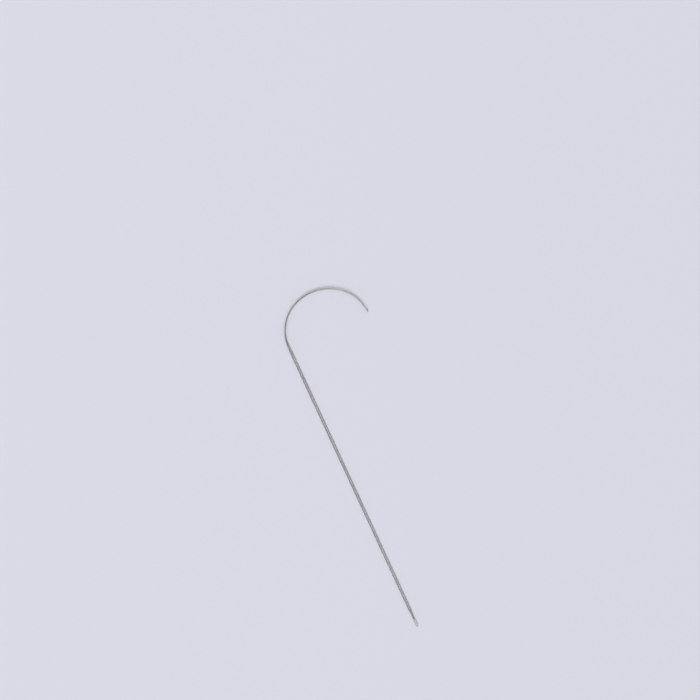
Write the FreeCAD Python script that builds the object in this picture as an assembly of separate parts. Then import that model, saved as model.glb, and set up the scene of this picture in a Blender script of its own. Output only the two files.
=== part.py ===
import FreeCAD
import Part

import os
from math import ceil, cos, pi, radians, sin, sqrt

# Curved big eye beading needle, in millimetres.
#
# Two drawn wires run together from a straight tail to a hooked nose. They are soldered to each
# other at both ends and nowhere else, so all the length between the two joints is the eye.
# In the straight stem the wires lie side by side, sprung a little apart. Over the shoulder of
# the hook the pair rolls a quarter turn, and from there one wire lies above the other, because
# a pair can only bend without stretching one wire when both stand at the same radius.
# Each end is ground to a blunt round point, through wire and solder alike.
#
# The needle lies flat: +Z is up, the stem runs along Y, and the hook turns towards +X. It is laid
# out from its tail tip, and the last step moves the origin to the middle of its footprint.

Vector = FreeCAD.Vector

# Overall form
overall_length = 90.0       # tail tip to the crown of the hook, along the stem
shoulder_radius = 10.1      # first bend, where the stem runs into the hook
shoulder_sweep = 59.5       # degrees
crook_radius = 11.7         # second bend, over the crown
crook_sweep = 86.5          # degrees
nose_radius = 8.0           # third bend, which turns the nose in
nose_sweep = 23.5           # degrees

# Wire and eye
wire_diameter = 0.28
eye_gap = 0.20              # clear width of the eye in the stem
crown_gap = 0.10            # clear width between the wires over the crown
crown_lean = 40.0           # degrees that the upper wire leans outwards over the crown
tail_ramp = 4.0             # length in which the wires part, after the tail joint
roll_lead = 4.5             # the pair starts to roll this far before the shoulder
roll_follow = 6.0           # and stands upright this far into it
nose_ramp = 8.0             # length in which the wires close again, before the nose joint

# Solder joints
joint_length = 2.6          # from the tip to the last solder between the wires
solder_film = 0.02          # solder between the wires
solder_cover = 0.03         # solder outside the wires
run_out = 1.0               # length in which the solder thins out towards the eye
tongue_width = 0.16         # width of the solder where it ends between the wires
tongue_height = 0.12        # height of the solder there
run_out_steps = 4           # outlines that the run-out is drawn through

# Ground points
point_length = 1.0          # length that the grinding reaches back from the tip
point_radius = 0.07         # roundness of the tip itself
wheel_margin = 0.1          # room round the point in which everything is ground away

span_length = 6.0           # longest stretch of curved wire that is drawn as one pair of arcs
straight_sagitta = 1e-7     # an arc flatter than this is a straight line
slope_step = 0.01           # step over which the slope of a route is taken

wire_radius = wire_diameter / 2
joint_spacing = wire_diameter + solder_film
eye_spacing = wire_diameter + eye_gap
crown_spacing = wire_diameter + crown_gap
joint_half_width = joint_spacing / 2 + wire_radius + solder_cover
joint_half_height = wire_radius + solder_cover

# Places along the pair's centreline, as lengths from the tail tip
shoulder_turn = radians(shoulder_sweep)
crook_turn = radians(crook_sweep)
nose_turn = radians(nose_sweep)
lean_turn = radians(crown_lean)
hook_rise = shoulder_radius * sin(shoulder_turn) + crook_radius * (1 - sin(shoulder_turn))
crown_reach = crown_spacing / 2 * sin(lean_turn) + wire_radius
stem_length = overall_length - hook_rise - crown_reach
shoulder_end = stem_length + shoulder_radius * shoulder_turn
crown_place = shoulder_end + crook_radius * (pi / 2 - shoulder_turn)
crook_end = shoulder_end + crook_radius * crook_turn
nose_bent = crook_end + nose_radius * nose_turn
nose_tip = nose_bent + joint_length
tail_parting = joint_length
eye_start = tail_parting + tail_ramp
roll_start = stem_length - roll_lead
roll_end = stem_length + roll_follow
nose_closing = nose_bent
closing_start = nose_closing - nose_ramp


# The pair's centreline

def along(start, heading, length):
    """Go straight on from start. The heading is the angle from +Y, turning towards +X."""
    return start + Vector(sin(heading), cos(heading), 0) * length


def round_bend(start, heading, radius, turn):
    """Go along an arc that turns right, from start."""
    return along(start, heading + turn / 2, 2 * radius * sin(turn / 2))


shoulder_point = along(Vector(), 0, stem_length)
crook_point = round_bend(shoulder_point, 0, shoulder_radius, shoulder_turn)
crook_heading = shoulder_turn + crook_turn
nose_point = round_bend(crook_point, shoulder_turn, crook_radius, crook_turn)
nose_heading = crook_heading + nose_turn
joint_point = round_bend(nose_point, crook_heading, nose_radius, nose_turn)


def centreline(length):
    """The point that far from the tail tip, and the heading there."""
    if length <= stem_length:
        return along(Vector(), 0, length), 0.0
    if length <= shoulder_end:
        turn = (length - stem_length) / shoulder_radius
        return round_bend(shoulder_point, 0, shoulder_radius, turn), turn
    if length <= crook_end:
        turn = (length - shoulder_end) / crook_radius
        return round_bend(crook_point, shoulder_turn, crook_radius, turn), shoulder_turn + turn
    if length <= nose_bent:
        turn = (length - crook_end) / nose_radius
        return round_bend(nose_point, crook_heading, nose_radius, turn), crook_heading + turn
    return along(joint_point, nose_heading, length - nose_bent), nose_heading


# How the two wires lie about it

def ramp(length, start, end):
    """0 up to start, 1 from end on, and an S without a kink between them."""
    share = min(max((length - start) / (end - start), 0.0), 1.0)
    return share ** 3 * (10 - 15 * share + 6 * share ** 2)


def pair_spacing(length):
    """Distance between the wires' centres."""
    opened = (eye_spacing - joint_spacing) * ramp(length, tail_parting, eye_start)
    narrowed = (crown_spacing - eye_spacing) * ramp(length, roll_start, roll_end)
    closed = (joint_spacing - crown_spacing) * ramp(length, closing_start, nose_closing)
    return joint_spacing + opened + narrowed + closed


def pair_roll(length):
    """0 where the wires lie side by side, a quarter turn where one stands on the other."""
    upright = pi / 2 * ramp(length, roll_start, roll_end)
    leaning = ramp(length, roll_end, crown_place) - ramp(length, crown_place, nose_closing)
    return upright - lean_turn * leaning


def lower_route(length):
    """Offset to the inside of the hook, and height. The lower wire keeps to one height."""
    offset = pair_spacing(length) / 2 * cos(pair_roll(length))
    return offset, joint_half_height


def upper_route(length):
    """The upper wire climbs from the outside of the hook to stand on the lower one."""
    offset = -pair_spacing(length) / 2 * cos(pair_roll(length))
    climb = pair_spacing(length) * sin(pair_roll(length))
    return offset, joint_half_height + climb


def inside(heading):
    return Vector(cos(heading), -sin(heading), 0)


def point_on(route, length):
    point, heading = centreline(length)
    offset, height = route(length)
    return point + inside(heading) * offset + Vector(0, 0, height)


def direction_on(route, length):
    heading = centreline(length)[1]
    offset_before, height_before = route(length - slope_step)
    offset_after, height_after = route(length + slope_step)
    drift = (offset_after - offset_before) / (2 * slope_step)
    rise = (height_after - height_before) / (2 * slope_step)
    way = along(Vector(), heading, 1) + inside(heading) * drift + Vector(0, 0, rise)
    return way.normalize()


# Bent wire

def arc_or_line(start, corner, end):
    """The arc from start to end whose end tangents meet at the corner between them."""
    middle = (start + end) / 2
    height = (corner - middle).Length
    side = (corner - start).Length
    half_chord = (end - start).Length / 2
    sagitta = height * half_chord / (side + half_chord)
    if sagitta < straight_sagitta:
        return Part.LineSegment(start, end).toShape()
    top = middle + (corner - middle) * (sagitta / height)
    return Part.Arc(start, top, end).toShape()


def pair_of_arcs(start, start_way, end, end_way):
    """Two arcs that leave start along start_way, meet without a kink and reach end along end_way."""
    step = end - start
    spread = 2 * (1 - start_way.dot(end_way))
    lead = step.dot(start_way + end_way)
    reach = step.dot(step) / (lead + sqrt(lead ** 2 + spread * step.dot(step)))
    first_corner = start + start_way * reach
    second_corner = end - end_way * reach
    meeting = (first_corner + second_corner) / 2
    return [arc_or_line(start, first_corner, meeting),
            arc_or_line(meeting, second_corner, end)]


def curved_run(route, stops):
    """Round wire bent along the route in pairs of arcs, with a pair starting at every stop."""
    edges = []
    for first, last in zip(stops, stops[1:]):
        spans = ceil((last - first) / span_length)
        for span in range(spans):
            here = first + (last - first) * span / spans
            there = first + (last - first) * (span + 1) / spans
            edges += pair_of_arcs(point_on(route, here), direction_on(route, here),
                                  point_on(route, there), direction_on(route, there))
    section = Part.Circle(point_on(route, stops[0]), direction_on(route, stops[0]), wire_radius)
    return Part.Wire(edges).makePipeShell([Part.Wire([section.toShape()])], True, False)


def straight_run(route, first, last):
    step = point_on(route, last) - point_on(route, first)
    return Part.makeCylinder(wire_radius, step.Length, point_on(route, first), step)


def bent_wire(route):
    """A round wire that follows the route from tail tip to nose tip."""
    bends = sorted([stem_length, roll_end, shoulder_end, crown_place, crook_end])
    tail = straight_run(route, 0, tail_parting)
    return tail.multiFuse([curved_run(route, [tail_parting, eye_start]),
                           straight_run(route, eye_start, roll_start),
                           curved_run(route, [roll_start] + bends + [nose_closing]),
                           straight_run(route, nose_closing, nose_tip)])


# Joints. Each is drawn with its tip at the origin, its axis along +Y and the pair along X.

def flat_oval(half_width, half_height, place):
    """A closed outline round the pair, that far from the tip."""
    straight = half_width - half_height
    corners = [Vector(x, place, z) for x, z in
               ((-straight, half_height), (straight, half_height),
                (straight, -half_height), (-straight, -half_height))]
    right = Vector(half_width, place, 0)
    left = Vector(-half_width, place, 0)
    return Part.Wire([Part.LineSegment(corners[0], corners[1]).toShape(),
                      Part.Arc(corners[1], right, corners[2]).toShape(),
                      Part.LineSegment(corners[2], corners[3]).toShape(),
                      Part.Arc(corners[3], left, corners[0]).toShape()])


def solder_blank():
    """The flat-oval bead round both wires, which thins out to a tongue between them."""
    bead_length = joint_length - run_out
    full = flat_oval(joint_half_width, joint_half_height, 0)
    bead = Part.Face(full).extrude(Vector(0, bead_length, 0))
    outlines = []
    for step in range(run_out_steps + 1):
        share = step / run_out_steps
        fullness = (1 + cos(pi * share)) / 2
        half_width = tongue_width / 2 + (joint_half_width - tongue_width / 2) * fullness
        half_height = tongue_height / 2 + (joint_half_height - tongue_height / 2) * fullness
        outlines.append(flat_oval(half_width, half_height, bead_length + run_out * share))
    return bead.fuse(Part.makeLoft(outlines, True, False))


def ground_point():
    """What the grinding leaves: a ball tip that runs into an ogive as wide as the joint."""
    full = joint_half_width
    reach = point_length - point_radius
    ogive_radius = (reach ** 2 + full ** 2 - point_radius ** 2) / (2 * (full - point_radius))
    ball_centre = Vector(0, point_radius, 0)
    ogive_centre = Vector(full - ogive_radius, point_length, 0)
    outwards = (ball_centre - ogive_centre).normalize()
    contact = ball_centre + outwards * point_radius
    tip = Vector(0, 0, 0)
    ball_way = (tip - ball_centre).normalize() + outwards
    ball_middle = ball_centre + ball_way.normalize() * point_radius
    widest = Vector(full, point_length, 0)
    ogive_way = outwards + Vector(1, 0, 0)
    ogive_middle = ogive_centre + ogive_way.normalize() * ogive_radius
    axis_end = Vector(0, point_length, 0)
    outline = Part.Wire([Part.Arc(tip, ball_middle, contact).toShape(),
                         Part.Arc(contact, ogive_middle, widest).toShape(),
                         Part.LineSegment(widest, axis_end).toShape(),
                         Part.LineSegment(axis_end, tip).toShape()])
    return Part.Face(outline).revolve(Vector(), Vector(0, 1, 0), 360)


def ground_off():
    """Everything round the point that the grinding takes away."""
    room = Part.makeCylinder(joint_half_width + wheel_margin, point_length + wheel_margin,
                             Vector(0, -wheel_margin, 0), Vector(0, 1, 0))
    return room.cut(ground_point())


def at_tail(shape):
    placed = shape.copy()
    placed.translate(Vector(0, 0, joint_half_height))
    return placed


def at_nose(shape):
    """Turned upright, because the pair stands on edge here, and pointed along the nose."""
    placed = shape.copy()
    placed.rotate(Vector(), Vector(0, 1, 0), 90)
    placed.rotate(Vector(), Vector(0, 0, 1), 180 - shoulder_sweep - crook_sweep - nose_sweep)
    tip = centreline(nose_tip)[0]
    placed.translate(tip + Vector(0, 0, joint_half_width))
    return placed


# Assembly

def one_solid(shape):
    """The single solid that a cut or a fuse leaves in its compound."""
    if len(shape.Solids) != 1:
        raise ValueError(f"{len(shape.Solids)} solids where one piece was expected")
    return shape.Solids[0]


lower = bent_wire(lower_route)
upper = bent_wire(upper_route)
waste = ground_off()
blank = solder_blank().cut(waste)

nodes = {
    "lower_wire": lower.cut([at_tail(waste), at_nose(waste)]),
    "upper_wire": upper.cut([at_tail(waste), at_nose(waste)]),
    "tail_solder": at_tail(blank).cut([lower, upper]),
    "nose_solder": at_nose(blank).cut([lower, upper]),
}
footprint = Part.makeCompound(list(nodes.values())).optimalBoundingBox(False, False)
to_origin = Vector(-footprint.Center.x, -footprint.Center.y, -footprint.ZMin)

os.makedirs("parts", exist_ok=True)
for name, shape in nodes.items():
    solid = one_solid(shape)
    solid.translate(to_origin)
    solid.exportStep(f"parts/{name}.step")
    print(f"{name}: {len(solid.Faces)} faces, {solid.Volume:.4f} mm3, valid: {solid.isValid()}")
print(f"footprint {footprint.XLength:.2f} x {footprint.YLength:.2f} x {footprint.ZLength:.2f} mm,"
      f" {nose_tip:.1f} mm of wire from tip to tip")
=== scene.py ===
# %% [markdown]
# A curved big eye beading needle.
# Two fine steel wires lie together from a straight tail to a hooked nose. They are soldered to
# each other at both ends and nowhere else, so the long gap between them is the eye.
# The solid model gives the needle's pieces, their places and their sizes. This script gives
# each of them a finer mesh and the finish of the real metal, and photographs it from above.

from math import ceil, cos, pi, radians, sin, sqrt

import bmesh
import bpy
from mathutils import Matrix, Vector, noise


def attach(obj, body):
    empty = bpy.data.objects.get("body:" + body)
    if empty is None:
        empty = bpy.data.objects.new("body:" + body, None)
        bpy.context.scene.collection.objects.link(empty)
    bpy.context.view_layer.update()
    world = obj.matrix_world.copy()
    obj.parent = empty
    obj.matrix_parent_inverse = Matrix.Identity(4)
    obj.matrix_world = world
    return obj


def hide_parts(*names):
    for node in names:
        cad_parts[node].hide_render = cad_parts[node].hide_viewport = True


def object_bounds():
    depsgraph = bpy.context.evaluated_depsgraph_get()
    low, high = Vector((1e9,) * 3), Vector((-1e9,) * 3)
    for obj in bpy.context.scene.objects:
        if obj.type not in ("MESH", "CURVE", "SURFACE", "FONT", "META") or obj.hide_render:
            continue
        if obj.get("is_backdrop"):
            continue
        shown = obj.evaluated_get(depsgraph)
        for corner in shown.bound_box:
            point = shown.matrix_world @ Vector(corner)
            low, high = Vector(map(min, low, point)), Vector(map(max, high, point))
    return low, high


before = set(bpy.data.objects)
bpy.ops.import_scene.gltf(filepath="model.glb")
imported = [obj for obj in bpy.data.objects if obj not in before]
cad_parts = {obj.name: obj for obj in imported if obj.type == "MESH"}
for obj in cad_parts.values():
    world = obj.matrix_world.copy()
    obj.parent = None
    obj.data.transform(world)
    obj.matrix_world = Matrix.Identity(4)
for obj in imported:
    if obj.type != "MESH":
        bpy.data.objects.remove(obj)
cad_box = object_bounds()
print("nodes:", sorted(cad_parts))

# %% [markdown]
# Everything below is worked out from a few sizes of the needle, the same that its solids have.
# They are in millimetres, because the needle is so thin: its wire is 0.28 mm across. Places are
# reckoned in millimetres too, and are brought to Blender's metres only when a point joins a
# mesh, so that no helper has to work with numbers like 0.00028.

# %% Sizes of the needle
MM = 0.001
overall_length = 90.0
shoulder_radius = 10.1
shoulder_turn = radians(59.5)
crook_radius = 11.7
crook_turn = radians(86.5)
nose_radius = 8.0
nose_turn = radians(23.5)
wire_radius = 0.14
joint_spacing = 0.30
eye_spacing = 0.48
crown_spacing = 0.38
crown_lean = radians(40.0)
tail_ramp = 4.0
roll_lead = 4.5
roll_follow = 6.0
nose_ramp = 8.0
joint_length = 2.6
solder_cover = 0.03
run_out = 1.0
tongue_width = 0.16
tongue_height = 0.12
point_length = 1.0
point_radius = 0.07

joint_half_width = joint_spacing / 2 + wire_radius + solder_cover
joint_half_height = wire_radius + solder_cover
low, high = (corner / MM for corner in cad_box)
tail_tip = Vector((low.x + eye_spacing / 2 + wire_radius, low.y, 0))
print(f"frame {(high - low).x:.2f} x {(high - low).y:.2f} x {(high - low).z:.2f} mm")

# %% [markdown]
# The photograph looks straight at the needle, so the camera looks straight down, and is rolled
# until the stem leans to the left as it does there. The tail tip is put on the pixel where the
# photograph has it. A long lens from half a metre keeps the flat, calm look of a product
# photograph, and the frame is 700 pixels square.

# %% Camera
frame_pixels = 700
tail_pixel = (417.7, 626.8)
stem_lean = radians(24.75)
pixels_per_mm = 3.886
focal_length = 100.0

camera = bpy.data.objects.new("camera", bpy.data.cameras.new("camera"))
bpy.context.scene.collection.objects.link(camera)
bpy.context.scene.camera = camera
camera.data.lens = focal_length
camera.data.dof.use_dof = False

image_right = Vector((cos(stem_lean), -sin(stem_lean), 0))
image_up = Vector((sin(stem_lean), cos(stem_lean), 0))
tail_from_centre = (tail_pixel[0] - frame_pixels / 2, frame_pixels / 2 - tail_pixel[1])
centre = (tail_tip - image_right * tail_from_centre[0] / pixels_per_mm
          - image_up * tail_from_centre[1] / pixels_per_mm)
half_frame = frame_pixels / 2 / pixels_per_mm
camera_height = half_frame * focal_length / (camera.data.sensor_width / 2)
camera.location = (centre + Vector((0, 0, camera_height + joint_half_height))) * MM
camera.rotation_euler = (0, 0, -stem_lean)
print(f"the camera hangs {camera_height:.0f} mm above the needle")

# %% [markdown]
# A round bright wire shows no colour of its own: it mirrors the room in thin lines. Seen from
# above, a stretch of it catches a lamp only where it runs square to the lamp's direction. So
# one big soft lamp stands beyond the crown, in line with the stem, and the other before the
# tail and as far to its left. The stem mirrors neither of them and stays grey. The crown is
# square to the first, and the wire before the nose to the second. A lamp at each side would
# make the whole stem glare.

# %% Lamps
lamp_distance = 3.0


def soft_lamp(name, azimuth, elevation, width, height, watts):
    """A soft lamp that faces the needle. Its azimuth is in degrees from +Y towards +X."""
    lamp = bpy.data.lights.new(name, "AREA")
    lamp.shape = "RECTANGLE"
    lamp.size, lamp.size_y = width, height
    lamp.energy = watts
    made = bpy.data.objects.new(name, lamp)
    bpy.context.scene.collection.objects.link(made)
    turn, rise = radians(azimuth), radians(elevation)
    way = Vector((sin(turn) * cos(rise), cos(turn) * cos(rise), sin(rise)))
    made.location = way * lamp_distance
    made.rotation_euler = way.to_track_quat("Z", "Y").to_euler()
    made.visible_camera = False


soft_lamp("lamp_beyond", azimuth=355, elevation=65, width=1.2, height=1.2, watts=31.0)
soft_lamp("lamp_before", azimuth=228, elevation=52, width=2.2, height=1.6, watts=28.0)
print("lamps:", [light.name for light in bpy.data.lights])

# %% [markdown]
# The node trees of the finishes are long when every node and link is spelled out. So a small
# class wraps a socket: sums and products of it read like arithmetic, and each adds the node
# that does the sum. Numbers go through a Math node, colours and vectors through Vector Math,
# because a Math node would turn a colour grey.

# %% Sums on sockets
class Value:
    """What a node gives: a number, a colour or a vector that can be reckoned with."""

    def __init__(self, recipe, socket):
        self.recipe = recipe
        self.socket = socket

    def reckoned(self, operation, first, second):
        operands = [value for value in (first, second) if isinstance(value, Value)]
        numbers = all(value.socket.type == "VALUE" for value in operands)
        kind = "ShaderNodeMath" if numbers else "ShaderNodeVectorMath"
        return self.recipe.node(kind, {"operation": operation}, {0: first, 1: second})

    def __add__(self, other):
        return self.reckoned("ADD", self, other)

    def __radd__(self, other):
        return self.reckoned("ADD", other, self)

    def __sub__(self, other):
        return self.reckoned("SUBTRACT", self, other)

    def __rsub__(self, other):
        return self.reckoned("SUBTRACT", other, self)

    def __mul__(self, other):
        return self.reckoned("MULTIPLY", self, other)

    def __rmul__(self, other):
        return self.reckoned("MULTIPLY", other, self)


print("sums:", [name for name in vars(Value) if name.endswith(("add__", "sub__", "mul__"))])

# %% [markdown]
# Every other node comes from one method, which is given the node's type, its settings, and the
# values or links of its sockets. The nodes that the finishes use over and over get a short
# method each, so that a finish reads as a list of what can be seen on the metal.

# %% Recipes of nodes
mix_first_colour = 6
mix_second_colour = 7
mix_colour_result = 2


class Recipe:
    """The nodes of one material, or of the room."""

    def __init__(self, owner):
        owner.use_nodes = True
        self.tree = owner.node_tree
        self.tree.nodes.clear()

    def node(self, kind, settings, sockets, output=0):
        """Add a node: its settings first, then its sockets. Gives the named output."""
        made = self.tree.nodes.new(kind)
        for name, value in settings.items():
            setattr(made, name, value)
        for name, value in sockets.items():
            if isinstance(value, Value):
                self.tree.links.new(value.socket, made.inputs[name])
            else:
                made.inputs[name].default_value = value
        return Value(self, made.outputs[output]) if made.outputs else None

    def note(self, name, output):
        """What a mesh has noted under that name at each of its points."""
        return self.node("ShaderNodeAttribute", {"attribute_name": name}, {}, output)

    def mixed(self, share, first, second):
        """A colour that goes from the first to the second as the share goes from 0 to 1."""
        return self.node("ShaderNodeMix", {"data_type": "RGBA"},
                         {"Factor": share, mix_first_colour: first,
                          mix_second_colour: second}, mix_colour_result)

    def eased(self, value, start, end, low_result=0.0, high_result=1.0):
        """The value brought from start..end to low_result..high_result, smooth at both ends."""
        return self.node("ShaderNodeMapRange", {"interpolation_type": "SMOOTHSTEP"},
                         {"Value": value, "From Min": start, "From Max": end,
                          "To Min": low_result, "To Max": high_result})

    def speckle(self, place, scale=1.0, detail=2.0):
        """Soft random light and dark, about 0.5, with blots 1 / scale across."""
        return self.node("ShaderNodeTexNoise", {}, {"Vector": place, "Scale": scale,
                                                    "Detail": detail})


print("recipe methods:", [name for name in vars(Recipe) if not name.startswith("_")])

# %% [markdown]
# The floor is plain, pale and a little cool, and almost without gloss, so that it takes the
# needle's soft shadow but no gleam. One square is enough, because nothing on it is modelled.

# %% Floor
floor_colour = (0.72, 0.72, 0.80, 1.0)
floor_roughness = 0.9
floor_gloss = 0.1
floor_size = 12.0


def pale_floor():
    mesh = bmesh.new()
    bmesh.ops.create_grid(mesh, x_segments=1, y_segments=1, size=floor_size / 2)
    data = bpy.data.meshes.new("floor")
    mesh.to_mesh(data)
    mesh.free()
    paper = bpy.data.materials.new("pale_paper")
    recipe = Recipe(paper)
    shader = recipe.node("ShaderNodeBsdfPrincipled", {},
                         {"Base Color": floor_colour, "Roughness": floor_roughness,
                          "Specular IOR Level": floor_gloss})
    recipe.node("ShaderNodeOutputMaterial", {}, {"Surface": shader})
    data.materials.append(paper)
    made = bpy.data.objects.new("floor", data)
    bpy.context.scene.collection.objects.link(made)
    return made


floor = pale_floor()
floor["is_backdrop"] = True
print("floor", floor_size, "m across")

# %% [markdown]
# The room is a gradient, pale at the height of the needle and dimmer overhead. That is what
# makes a needle show on a pale floor, because seen from above a wire mirrors mostly what hangs
# over it. A picture of a real room would do the same, but would hang lamps and windows in the
# wire where the photograph shows none.

# %% Room
room_level = (0.55, 0.55, 0.58, 1.0)
room_overhead = (0.42, 0.42, 0.43, 1.0)
overhead_height = 0.8

room = bpy.data.worlds.new("room")
bpy.context.scene.world = room
room_recipe = Recipe(room)
direction = room_recipe.node("ShaderNodeTexCoord", {}, {}, output="Generated")
height = room_recipe.node("ShaderNodeSeparateXYZ", {}, {"Vector": direction}, output="Z")
overhead_share = room_recipe.eased(height, 0.0, overhead_height)
tone = room_recipe.mixed(overhead_share, room_level, room_overhead)
background = room_recipe.node("ShaderNodeBackground", {}, {"Color": tone, "Strength": 1.0})
room_recipe.node("ShaderNodeOutputWorld", {}, {"Surface": background})
bpy.context.scene.view_settings.view_transform = "Standard"
print("room:", room.name, "view:", bpy.context.scene.view_settings.view_transform)

# %% [markdown]
# Both wires follow one middle line: the straight stem, the shoulder, the crook over the crown,
# the tighter bend of the nose and the short straight joint behind its point. A place on the
# line is the length of wire from the tail tip. The stem gets what the hook leaves over of the
# needle's whole length, measured to the outside of the crown.

# %% Lengths along the wire
hook_rise = shoulder_radius * sin(shoulder_turn) + crook_radius * (1 - sin(shoulder_turn))
crown_reach = crown_spacing / 2 * sin(crown_lean) + wire_radius
stem_length = overall_length - hook_rise - crown_reach
shoulder_end = stem_length + shoulder_radius * shoulder_turn
crown_place = shoulder_end + crook_radius * (pi / 2 - shoulder_turn)
crook_end = shoulder_end + crook_radius * crook_turn
nose_bent = crook_end + nose_radius * nose_turn
nose_tip = nose_bent + joint_length
print(f"stem {stem_length:.2f} mm, {nose_tip:.2f} mm of wire from tip to tip")

# %% [markdown]
# A bend of wire over a round former is an arc, so the line is made of arcs that meet without a
# corner. A heading is the angle from the stem's direction, +Y, turning towards +X. The chord
# of an arc leans by half of its turn, which gives the arc's far end in one step.

# %% Middle line of the pair
def along(start, heading, length):
    return start + Vector((sin(heading), cos(heading), 0)) * length


def round_bend(start, heading, radius, turn):
    """Go along an arc that turns right, from start."""
    return along(start, heading + turn / 2, 2 * radius * sin(turn / 2))


crook_heading = shoulder_turn + crook_turn
nose_heading = crook_heading + nose_turn
shoulder_point = along(tail_tip, 0, stem_length)
crook_point = round_bend(shoulder_point, 0, shoulder_radius, shoulder_turn)
nose_point = round_bend(crook_point, shoulder_turn, crook_radius, crook_turn)
joint_point = round_bend(nose_point, crook_heading, nose_radius, nose_turn)


def middle_line(length):
    """The point that far from the tail tip, and the heading there."""
    if length <= stem_length:
        return along(tail_tip, 0, length), 0.0
    if length <= shoulder_end:
        turn = (length - stem_length) / shoulder_radius
        return round_bend(shoulder_point, 0, shoulder_radius, turn), turn
    if length <= crook_end:
        turn = (length - shoulder_end) / crook_radius
        return round_bend(crook_point, shoulder_turn, crook_radius, turn), shoulder_turn + turn
    if length <= nose_bent:
        turn = (length - crook_end) / nose_radius
        return round_bend(nose_point, crook_heading, nose_radius, turn), crook_heading + turn
    return along(joint_point, nose_heading, length - nose_bent), nose_heading


print("nose tip at", [round(part, 2) for part in middle_line(nose_tip)[0]], "mm")

# %% [markdown]
# In the stem the wires lie side by side, sprung a little apart. A pair of wires that are
# soldered to each other can't be bent side by side, because the outer one would have to be
# longer. So the pair rolls a quarter turn over the shoulder, and in the hook one wire rides on
# the other. An S-shaped ramp with no kink in it opens the gap, rolls the pair and closes it.

# %% Gap and roll of the pair
roll_start = stem_length - roll_lead
roll_end = stem_length + roll_follow
closing_start = nose_bent - nose_ramp


def ramp(length, start, end):
    """0 before start and 1 after end, with no kink where it begins or ends."""
    share = min(max((length - start) / (end - start), 0.0), 1.0)
    return share ** 3 * (10 - 15 * share + 6 * share ** 2)


def pair_spacing(length):
    """Distance between the wires' middles."""
    opened = (eye_spacing - joint_spacing) * ramp(length, joint_length, joint_length + tail_ramp)
    narrowed = (crown_spacing - eye_spacing) * ramp(length, roll_start, roll_end)
    closed = (joint_spacing - crown_spacing) * ramp(length, closing_start, nose_bent)
    return joint_spacing + opened + narrowed + closed


def pair_roll(length):
    """0 where the wires lie side by side, a quarter turn where one stands on the other."""
    leaning = ramp(length, roll_end, crown_place) - ramp(length, crown_place, nose_bent)
    return pi / 2 * ramp(length, roll_start, roll_end) - crown_lean * leaning


print("gap of the eye:", round(pair_spacing(stem_length / 2) - 2 * wire_radius, 3), "mm")

# %% [markdown]
# The needle lies flat, so the wire that ends up below keeps to one height all the way, and the
# other does all of the climbing. Each route says how far its wire is to the inside of the hook
# and how high, and the middle line does the rest.

# %% Routes of the two wires
route_step = 0.01


def lower_route(length):
    """Offset to the inside of the hook, and height. The lower wire keeps to one height."""
    return pair_spacing(length) / 2 * cos(pair_roll(length)), joint_half_height


def upper_route(length):
    """The upper wire climbs from the outside of the hook to ride on the lower one."""
    spacing, roll = pair_spacing(length), pair_roll(length)
    return -spacing / 2 * cos(roll), joint_half_height + spacing * sin(roll)


def inside(heading):
    """The way to the inside of the hook."""
    return Vector((cos(heading), -sin(heading), 0))


def point_on(route, length):
    point, heading = middle_line(length)
    offset, height = route(length)
    return point + inside(heading) * offset + Vector((0, 0, height))


def cross_ways(route, length):
    """The sideways and the upward direction, square to the wire at that place."""
    heading = middle_line(length)[1]
    before, after = route(length - route_step), route(length + route_step)
    drift, climb = ((late - early) / (2 * route_step) for early, late in zip(before, after))
    way = along(Vector((0, 0, climb)), heading, 1) + inside(heading) * drift
    sideways = inside(heading).cross(way).cross(way).normalized() * -1
    return sideways, sideways.cross(way).normalized()


for name, route in (("lower", lower_route), ("upper", upper_route)):
    print(name, "wire over the crown:", round(point_on(route, crown_place).z, 3), "mm up")

# %% [markdown]
# Each end is ground to a blunt round point after the soldering. The wheel cuts through wire
# and solder alike, so the end is one smooth bullet: a small ball that runs into a long curve as
# wide as the joint. What the wheel leaves, that far from the tip, is a disc of this radius.

# %% Ground point
point_reach = point_length - point_radius
bullet_radius = ((point_reach ** 2 + joint_half_width ** 2 - point_radius ** 2)
                 / (2 * (joint_half_width - point_radius)))
ball_share = point_radius * (1 - point_reach / (bullet_radius - point_radius))


def ground_radius(from_tip):
    if from_tip < ball_share:
        return sqrt(point_radius ** 2 - (point_radius - from_tip) ** 2)
    bulge = sqrt(bullet_radius ** 2 - (point_length - from_tip) ** 2)
    return joint_half_width - bullet_radius + bulge


def wheel_radius(from_tip):
    """The disc that is left at that place: behind the point, the whole joint."""
    return ground_radius(from_tip) if from_tip < point_length else joint_half_width


print("radius half way along the point:", round(ground_radius(point_length / 2), 3), "mm")

# %% [markdown]
# A wire is skinned over rings of points, square to it and close together, so that no bend
# shows a corner. A curve with a round bevel would make the same tube in fewer lines, but not
# its ground ends. There the rings crowd towards the tip, where the point curves most.

# %% Places of the rings
ring_step = 0.3
point_rings = 80
point_easing = 1.8
wire_start = 0.002


def point_places(first_ring):
    """Ring places over a ground point, closest at its tip."""
    spread = point_length - first_ring
    return [first_ring + spread * (ring / point_rings) ** point_easing
            for ring in range(point_rings)]


def wire_places():
    """Ring places from tip to tip."""
    tail = point_places(wire_start)
    span = nose_tip - 2 * point_length
    count = ceil(span / ring_step)
    body = [point_length + span * ring / count for ring in range(count + 1)]
    return tail + body + [nose_tip - place for place in reversed(tail)]


places = wire_places()
print(len(places), "rings in each wire")

# %% [markdown]
# Every ring is cast outwards from inside the wire, and each ray stops at the wire's own skin or
# at the wheel's disc, whichever comes first. That leaves the long pale facet which a real wire
# shows where the wheel has cut into it.
# Each point also keeps two notes for the finish: where it was on the wire before the wire was
# bent, and how deep the wheel has cut there, which is below zero where it hasn't reached.

# %% One ring of wire
wire_sides = 64
deepest_cut = 0.03


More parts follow.
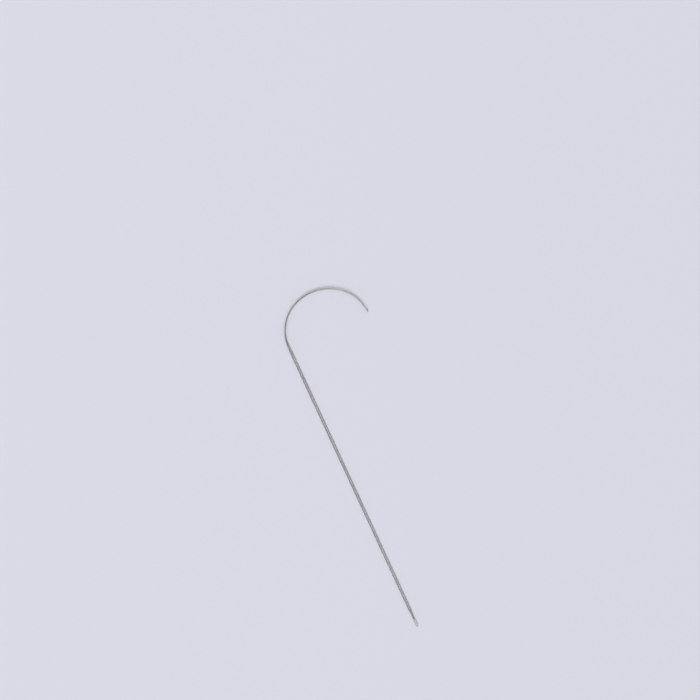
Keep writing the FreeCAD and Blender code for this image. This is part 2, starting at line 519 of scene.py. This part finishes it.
def way_out(start, ray, middle, radius):
    """How far a ray runs from start until it leaves a disc."""
    back = start - middle
    lean = back.dot(ray)
    return sqrt(lean ** 2 + radius ** 2 - back.length_squared) - lean


def cut_depth(depth):
    """The depth as it is noted. The finish needs it only near the edge of the cut."""
    return min(max(depth, -deepest_cut), deepest_cut)


def wire_ring(route, length):
    """One ring of the wire's skin, with the two notes of each of its points."""
    middle = point_on(route, length)
    sideways, upwards = cross_ways(route, length)
    start = middle
    joint_middle = (point_on(lower_route, length) + point_on(upper_route, length)) / 2
    wheel = wheel_radius(min(length, nose_tip - length))
    grinding = wheel < joint_spacing / 2 + wire_radius
    if grinding:
        inner_edge = joint_spacing / 2 - wire_radius
        start = joint_middle + (middle - joint_middle).normalized() * (inner_edge + wheel) / 2
    ring = []
    for side in range(wire_sides):
        angle = 2 * pi * side / wire_sides
        ray = sideways * cos(angle) + upwards * sin(angle)
        reach = way_out(start, ray, middle, wire_radius)
        cut = -deepest_cut
        if grinding:
            cut = cut_depth((start + ray * reach - joint_middle).length - wheel)
            reach = min(reach, way_out(start, ray, joint_middle, wheel))
        unbent = (wire_radius * cos(angle), wire_radius * sin(angle), length)
        ring.append((start + ray * reach, unbent, cut))
    return ring


print(wire_sides, "points in each ring")

# %% [markdown]
# The rings are joined by rows of four-sided faces, and a small cap closes each end, so that the
# mesh is one closed skin. Smooth shading hides the faces, but not the edge where the wheel's
# facet meets the round wire: an edge that turns by more than a set angle stays sharp.

# %% Wires
sharp_angle = radians(40)


def skinned(name, rings):
    """A closed mesh over rings of (point, unbent place, cut), with a cap on each end."""
    mesh = bmesh.new()
    rows = [[mesh.verts.new(point * MM) for point, unbent, cut in ring] for ring in rings]
    for row, next_row in zip(rows, rows[1:]):
        for side, corner in enumerate(row):
            after = (side + 1) % len(row)
            mesh.faces.new((corner, row[after], next_row[after], next_row[side]))
    mesh.faces.new(rows[0][::-1])
    mesh.faces.new(rows[-1])
    bmesh.ops.recalc_face_normals(mesh, faces=mesh.faces)
    data = bpy.data.meshes.new(name)
    mesh.to_mesh(data)
    mesh.free()
    data.shade_smooth()
    data.set_sharp_from_angle(angle=sharp_angle)
    notes = [note for ring in rings for note in ring]
    unbent = data.attributes.new("unbent", "FLOAT_VECTOR", "POINT")
    unbent.data.foreach_set("vector", [part for note in notes for part in note[1]])
    cut = data.attributes.new("cut", "FLOAT", "POINT")
    cut.data.foreach_set("value", [note[2] for note in notes])
    made = bpy.data.objects.new(name, data)
    bpy.context.scene.collection.objects.link(made)
    print(f"{name}: {len(data.polygons)} faces")
    return made


lower_wire = skinned("wire_lower", [wire_ring(lower_route, place) for place in places])
upper_wire = skinned("wire_upper", [wire_ring(upper_route, place) for place in places])

# %% [markdown]
# Silver solder runs round both wires, and towards the eye it thins out to a tongue that sinks
# between them. A bead is drawn in its own small frame: x across the pair, z through it, y back
# from the tip. Its outline is an oval with two straight sides, which shrinks as the bead runs
# out. A loft between drawn outlines would look alike, but would leave no say in each point.

# %% Outline of a solder bead
bead_length = joint_length - run_out
tongue_fade = 0.4
tongue_end = 0.1


def bead_fullness(from_tip):
    """1 along the bead, and down to 0 where it runs out between the wires."""
    share = min(max((from_tip - bead_length) / run_out, 0.0), 1.0)
    return (1 + cos(pi * share)) / 2


def tongue_fullness(from_tip):
    """1 along the joint, and down to almost nothing where the tongue sinks away."""
    share = max((from_tip - joint_length) / tongue_fade + 1, 0.0)
    return tongue_end + (1 - tongue_end) * sqrt(1 - share ** 2)


def bead_reach(angle, half_width, half_height):
    """How far the outline of a bead, with straight sides and round ends, is from its middle."""
    straight = half_width - half_height
    across, through = abs(cos(angle)), abs(sin(angle))
    if through * straight >= across * half_height:
        return half_height / through
    return straight * across + sqrt(half_height ** 2 - (straight * through) ** 2)


print("the bead is half as full", round(bead_length + run_out / 2, 2), "mm from the tip")

# %% [markdown]
# As it sets, the solder draws itself into a hollow over the groove between the wires, and its
# skin stays a little uneven. It is softer than the steel, so the wheel takes it a hair deeper,
# and the two steel facets stand out of it at the point.

# %% One ring of solder
bead_sides = 96
groove_depth = 0.045
wheel_bite = 0.003
lump_height = 0.008
lumps_per_mm = 9


def bead_ring(from_tip):
    """One ring of the solder's skin, in the joint's own frame."""
    fullness = bead_fullness(from_tip)
    half_width = tongue_width / 2 + (joint_half_width - tongue_width / 2) * fullness
    half_height = tongue_height / 2 + (joint_half_height - tongue_height / 2) * fullness
    half_height *= tongue_fullness(from_tip)
    wheel = wheel_radius(from_tip) - wheel_bite
    ring = []
    for side in range(bead_sides):
        angle = 2 * pi * side / bead_sides
        reach = bead_reach(angle, half_width, half_height)
        x, z = reach * cos(angle), reach * sin(angle)
        hollow = max(0.0, 1 - (2 * x / joint_spacing) ** 2) ** 2 * groove_depth * fullness
        lump = (noise.noise(Vector((x, from_tip, z)) * lumps_per_mm) + 1) / 2 * lump_height
        reach -= hollow * abs(sin(angle)) + lump
        cut = cut_depth(reach - wheel)
        reach = min(reach, wheel)
        place = Vector((reach * cos(angle), from_tip, reach * sin(angle)))
        ring.append((place, (place.x, place.z, from_tip), cut))
    return ring


print(bead_sides, "points in each ring")

# %% [markdown]
# Both joints have the same bead. At the tail it lies flat, as the wires do there. At the nose
# the wires stand one on the other, so the bead stands on edge: its x becomes the height.

# %% Solder beads
bead_start = 0.004
bead_rings = 80


def bead_places():
    span = joint_length - point_length
    body = [point_length + span * ring / bead_rings for ring in range(bead_rings + 1)]
    return point_places(bead_start) + body


def at_tail(place):
    return tail_tip + Vector((place.x, place.y, place.z + joint_half_height))


def at_nose(place):
    tip, heading = middle_line(nose_tip)
    back = along(Vector(), heading, -1)
    upright = Vector((0, 0, place.x + joint_half_width))
    return tip + back * place.y + inside(heading) * place.z + upright


def solder_bead(name, placed):
    rings = [bead_ring(from_tip) for from_tip in bead_places()]
    return skinned(name, [[(placed(place), unbent, cut) for place, unbent, cut in ring]
                          for ring in rings])


tail_bead = solder_bead("solder_tail", at_tail)
nose_bead = solder_bead("solder_nose", at_nose)

# %% [markdown]
# Steel and solder are both bare metal, and one wheel has ground both. So they share the last
# nodes, the place where the ground metal begins, and the fine rings that the wheel leaves round
# a point. The notes of the meshes say where those are, so that they follow the real cut.

# %% Bare metal and the wheel's marks
cut_edge = 0.003
wheel_rings_per_mm = 70.0
wheel_ring_detail = 1.0


def ground_share(recipe):
    """1 on ground metal and 0 elsewhere, with a narrow soft edge."""
    return recipe.eased(recipe.note("cut", "Fac"), -cut_edge, cut_edge)


def wheel_rings(recipe, length):
    return recipe.node("ShaderNodeTexNoise", {"noise_dimensions": "1D"},
                       {"W": length, "Scale": wheel_rings_per_mm,
                        "Detail": wheel_ring_detail})


def bare_metal(recipe, colour, roughness, relief, relief_depth):
    bump = recipe.node("ShaderNodeBump", {}, {"Height": relief, "Distance": relief_depth * MM})
    shader = recipe.node("ShaderNodeBsdfPrincipled", {},
                         {"Base Color": colour, "Metallic": 1.0, "Roughness": roughness,
                          "Normal": bump})
    recipe.node("ShaderNodeOutputMaterial", {}, {"Surface": shader})


print("the cut's edge is soft over", 2 * cut_edge, "mm")

# %% [markdown]
# Drawn stainless wire is grey rather than bright. The die leaves fine lines along it, and
# handling leaves duller stretches. They run with the wire round every bend, so they are worked
# out where the wire was before it was bent. A noise that is stretched along the wire gives
# both. Near a joint the heat leaves a faint straw colour.

# %% Drawn steel
steel_grey = (0.50, 0.48, 0.475, 1.0)
steel_dark = (0.40, 0.385, 0.38, 1.0)
steel_straw = (0.53, 0.495, 0.45, 1.0)
steel_ground = (0.48, 0.47, 0.465, 1.0)
die_line_grain = (60.0, 60.0, 1.2)
handling_grain = (3.0, 3.0, 0.35)
die_line_share = 0.6
die_line_depth = 0.003
drawn_smoothest = 0.24
die_line_roughness = 0.10
handling_roughness = 0.12
steel_ground_smoothest = 0.22
steel_ring_roughness = 0.14
heat_reach = 5.0
heat_strength = 0.6


def drawn_steel():
    material = bpy.data.materials.new("drawn_steel")
    recipe = Recipe(material)
    unbent = recipe.note("unbent", "Vector")
    length = recipe.node("ShaderNodeSeparateXYZ", {}, {"Vector": unbent}, "Z")
    ground = ground_share(recipe)
    rings = wheel_rings(recipe, length)
    die_lines = recipe.speckle(unbent * die_line_grain)
    handling = recipe.speckle(unbent * handling_grain)
    from_end = recipe.node("ShaderNodeMath", {"operation": "MINIMUM"},
                           {0: length, 1: nose_tip - length})
    heated = recipe.eased(from_end, joint_length, joint_length + heat_reach, heat_strength, 0.0)
    wear = die_lines * die_line_share + handling * (1 - die_line_share)
    worn = recipe.mixed(wear, steel_dark, steel_grey)
    tinted = recipe.mixed(heated * handling, worn, steel_straw)
    colour = recipe.mixed(ground, tinted, steel_ground)
    drawn_roughness = (drawn_smoothest + die_lines * die_line_roughness
                       + handling * handling_roughness)
    ground_roughness = steel_ground_smoothest + rings * steel_ring_roughness
    roughness = drawn_roughness * (1 - ground) + ground_roughness * ground
    relief = (die_lines - 0.5) * (1 - ground) + (rings - 0.5) * ground
    bare_metal(recipe, colour, roughness, relief, die_line_depth)
    return material


steel = drawn_steel()
for wire in (lower_wire, upper_wire):
    wire.data.materials.append(steel)
print("finish:", steel.name, "with", len(steel.node_tree.nodes), "nodes")

# %% [markdown]
# Silver solder is whiter and softer-looking than the steel. It sets with shallow ripples and a
# few pinholes of different sizes, and the flux leaves a duller, slightly warm skin where
# nothing has rubbed it. The pinholes sit in the cells of a Voronoi texture, and a slow noise
# says how big each may be, so that most cells have none. The mesh has no hole there, so each
# pinhole is darkened with painted shade.

# %% Silver solder
solder_bright = (0.58, 0.575, 0.57, 1.0)
solder_dull = (0.50, 0.485, 0.455, 1.0)
solder_ground = (0.56, 0.555, 0.55, 1.0)
pinhole_painted_shade = (0.20, 0.19, 0.17, 1.0)
ripples_per_mm = 9.0
ripple_depth = 0.006
flux_blots_per_mm = 3.0
flux_detail = 4.0
flux_thin = 0.4
flux_thick = 0.65
pinhole_cells_per_mm = 7.0
pinhole_drift_per_mm = 4.0
pinholes_start = 0.42
pinholes_full = 0.62
widest_pinhole = 0.17
pinhole_shade_strength = 0.6
pinhole_sink = 0.8
set_smoothest = 0.30
flux_roughness = 0.22
solder_ground_smoothest = 0.18
solder_ring_roughness = 0.12
solder_ring_relief = 0.3


def silver_solder():
    material = bpy.data.materials.new("silver_solder")
    recipe = Recipe(material)
    place = recipe.note("unbent", "Vector")
    length = recipe.node("ShaderNodeSeparateXYZ", {}, {"Vector": place}, "Z")
    ground = ground_share(recipe)
    rings = wheel_rings(recipe, length)
    ripples = recipe.speckle(place, ripples_per_mm)
    flux = recipe.speckle(place, flux_blots_per_mm, flux_detail)
    pinhole_size = recipe.eased(recipe.speckle(place, pinhole_drift_per_mm),
                                pinholes_start, pinholes_full, 0.0, widest_pinhole)
    to_pinhole = recipe.node("ShaderNodeTexVoronoi", {},
                             {"Vector": place, "Scale": pinhole_cells_per_mm}, "Distance")
    pinholes = recipe.eased(to_pinhole, 0.0, pinhole_size, 1.0, 0.0)
    skin = recipe.mixed(recipe.eased(flux, flux_thin, flux_thick), solder_bright, solder_dull)
    # Painted shade: the colour darkens inside each pinhole, where a real hole would lie in
    # shade.
    pitted = recipe.mixed(pinholes * pinhole_shade_strength, skin, pinhole_painted_shade)
    colour = recipe.mixed(ground, pitted, solder_ground)
    set_roughness = set_smoothest + flux * flux_roughness
    ground_roughness = solder_ground_smoothest + rings * solder_ring_roughness
    roughness = set_roughness * (1 - ground) + ground_roughness * ground
    set_relief = ripples - 0.5 - pinholes * pinhole_sink
    ground_relief = (rings - 0.5) * solder_ring_relief
    relief = set_relief * (1 - ground) + ground_relief * ground
    bare_metal(recipe, colour, roughness, relief, ripple_depth)
    return material


solder = silver_solder()
for bead in (tail_bead, nose_bead):
    bead.data.materials.append(solder)
print("finish:", solder.name, "with", len(solder.node_tree.nodes), "nodes")

# %% [markdown]
# The needle has no joint, so every piece rides on its one body. Each stands for the solid that
# has its shape, and that solid is hidden. The finishes were given where they were made.

# %% What each piece stands for
for piece, node, slot in ((lower_wire, "lower_wire", "drawn_steel"),
                          (upper_wire, "upper_wire", "drawn_steel"),
                          (tail_bead, "tail_solder", "silver_solder"),
                          (nose_bead, "nose_solder", "silver_solder")):
    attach(piece, "root")
    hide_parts(node)
    print(piece.name, "stands for", node)

# %% [markdown]
# The finer meshes may not change the needle's size, so both boxes are written down and can be
# compared after each render.

# %% Sizes
visual_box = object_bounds()
sizes = {"cad": [list(corner) for corner in cad_box],
         "visual": [list(corner) for corner in visual_box]}
for name, box in sizes.items():
    print(name, [round(value / MM, 3) for corner in box for value in corner])
